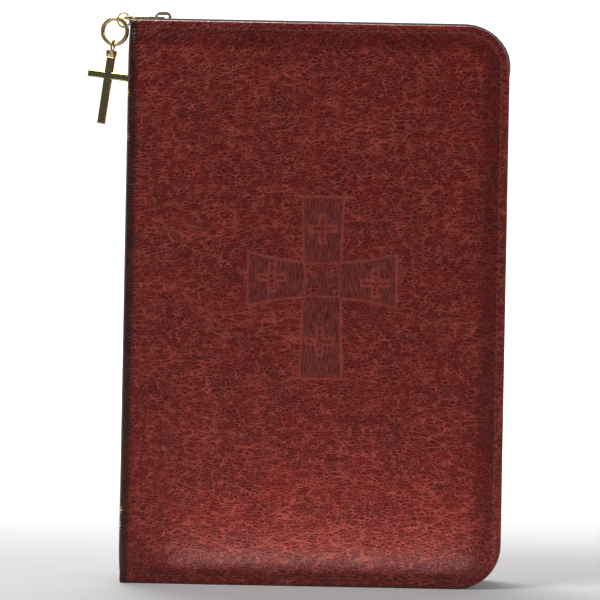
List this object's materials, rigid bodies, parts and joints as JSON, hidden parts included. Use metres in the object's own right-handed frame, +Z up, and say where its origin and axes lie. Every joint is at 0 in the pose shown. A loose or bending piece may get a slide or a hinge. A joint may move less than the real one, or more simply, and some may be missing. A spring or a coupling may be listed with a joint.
{
  "type": "zippered bible",
  "caption": "Zippered padded-leather Bible standing on its tail edge, with a debossed cross, sewn page block and a gold cross charm on the zipper pull.",
  "frame": {"origin": "centre of the whole object's footprint, on the surface that it stands on", "axes": "+Z up from the tail edge to the head, +Y out of the back cover, +X from the spine to the fore edge"},
  "size_m": [0.1636, 0.038, 0.2211],
  "materials": {
    "leather": "glossy pebbled",
    "thread": "waxed",
    "foam": "matt",
    "board": "matt",
    "lining": "satin",
    "endpaper": "matt",
    "paper": "matt",
    "tape": "woven",
    "coil": "satin",
    "bands": "woven",
    "mull": "open weave",
    "ribbon": "satin",
    "gold": "polished gold plate"
  },
  "bodies": {
    "case": {"back_cover_leather": "leather", "back_stitching": "thread", "back_foam_pad": "foam", "back_board": "board", "back_lining": "lining", "back_flyleaf": "endpaper", "back_zipper_tape": "tape", "back_zipper_teeth": "coil", "back_end_stops": "gold", "spine_leather": "leather", "spine_stiffener": "board", "spine_mull": "mull", "head_band": "bands", "tail_band": "bands", "ribbon_marker": "ribbon", "page_section_08": "paper", "page_section_09": "paper", "page_section_10": "paper", "page_section_11": "paper", "page_section_12": "paper"},
    "front_cover": {"front_cover_leather": "leather", "front_stitching": "thread", "front_foam_pad": "foam", "front_board": "board", "front_lining": "lining", "front_flyleaf": "endpaper", "front_zipper_tape": "tape", "front_zipper_teeth": "coil", "front_end_stops": "gold"},
    "pages_1": {"page_section_01": "paper", "page_section_02": "paper", "page_section_03": "paper"},
    "pages_2": {"page_section_04": "paper", "page_section_05": "paper"},
    "pages_3": {"page_section_06": "paper", "page_section_07": "paper"},
    "slider": {"zipper_slider": "gold"},
    "pull": {"pull_tab": "gold"},
    "small_ring": {"small_ring": "gold"},
    "big_ring": {"big_ring": "gold"},
    "charm": {"charm_bail": "gold", "charm_cross": "gold"}
  },
  "joints": [
    {"name": "cover_hinge", "type": "hinge", "parent": "case", "child": "front_cover", "pos_m": [-0.06403, -0.01835, 0], "axis": [0, 0, -1], "range_deg": [0, 110]},
    {"name": "page_turn_1", "type": "hinge", "parent": "case", "child": "pages_1", "pos_m": [-0.06148, -0.0151, 0], "axis": [0, 0, -1], "range_deg": [0, 88.1]},
    {"name": "page_turn_2", "type": "hinge", "parent": "case", "child": "pages_2", "pos_m": [-0.06148, -0.00746, 0], "axis": [0, 0, -1], "range_deg": [0, 44.1]},
    {"name": "page_turn_3", "type": "hinge", "parent": "case", "child": "pages_3", "pos_m": [-0.06148, -0.00225, 0], "axis": [0, 0, -1], "range_deg": [0, 22.1]},
    {"name": "slider_travel", "type": "slide", "parent": "case", "child": "slider", "axis": [1, 0, 0], "range_m": [0, 0.005]},
    {"name": "pull_flip", "type": "hinge", "parent": "slider", "child": "pull", "pos_m": [-0.05248, 0, 0.2184], "axis": [0, 1, 0], "range_deg": [0, 150]},
    {"name": "small_ring_swing", "type": "hinge", "parent": "pull", "child": "small_ring", "pos_m": [-0.06701, -0.00112, 0.2184], "axis": [-0.5878, 0.809, 0], "range_deg": [0, 25]},
    {"name": "big_ring_swing", "type": "hinge", "parent": "small_ring", "child": "big_ring", "pos_m": [-0.07118, -0.00122, 0.21301], "axis": [0.2419, 0.9703, 0], "range_deg": [0, 30]},
    {"name": "charm_swing", "type": "hinge", "parent": "big_ring", "child": "charm", "pos_m": [-0.07118, -0.00122, 0.21301], "axis": [0.2419, 0.9703, 0], "range_deg": [0, 50]}
  ],
  "couplings": [
    {"joint": "page_turn_1", "follows": "cover_hinge", "ratio": 0.8},
    {"joint": "page_turn_2", "follows": "cover_hinge", "ratio": 0.4},
    {"joint": "page_turn_3", "follows": "cover_hinge", "ratio": 0.2},
    {"joint": "slider_travel", "follows": "pull_flip", "m_per_rad": 0.0019}
  ]
}
